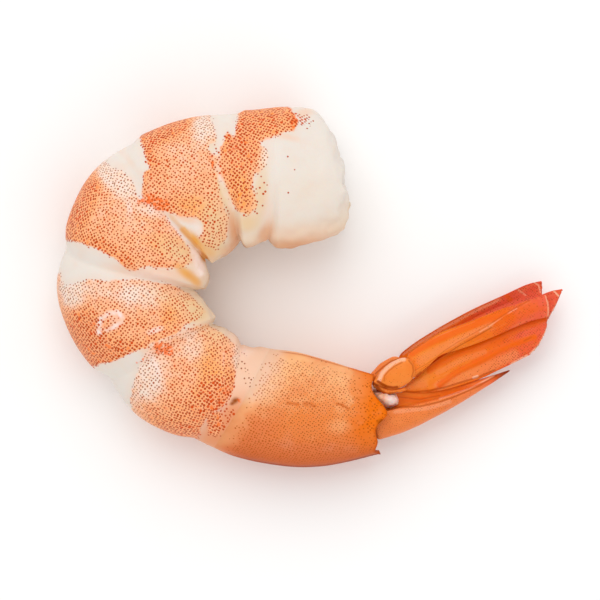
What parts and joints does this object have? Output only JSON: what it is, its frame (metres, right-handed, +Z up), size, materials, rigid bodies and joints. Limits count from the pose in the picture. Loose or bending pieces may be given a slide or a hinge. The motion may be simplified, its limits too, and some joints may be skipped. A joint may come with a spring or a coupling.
{
  "type": "cooked tail-on shrimp",
  "caption": "Curled cooked shrimp lying on its side, peeled to the last shell segment, with the tail fan on: dotted orange pigment over white flesh.",
  "frame": {"origin": "middle of the bounding box, on the surface the shrimp lies on", "axes": "+X from the outside of the curl towards the tips of the tail fan, +Y from the tail shell towards the cut neck end, +Z up through the side that shows"},
  "size_m": [0.0724, 0.0518, 0.0173],
  "materials": {
    "flesh": "moist and waxy",
    "shell": "thin, translucent and glossy",
    "fin": "thin, translucent and glossy"
  },
  "bodies": {
    "root": {"flesh": "flesh", "tail_shell": "shell", "telson": "fin", "near_stalk": "fin", "near_exopod": "fin", "near_endopod": "fin", "far_stalk": "fin", "far_exopod": "fin", "far_endopod": "fin"}
  },
  "joints": []
}
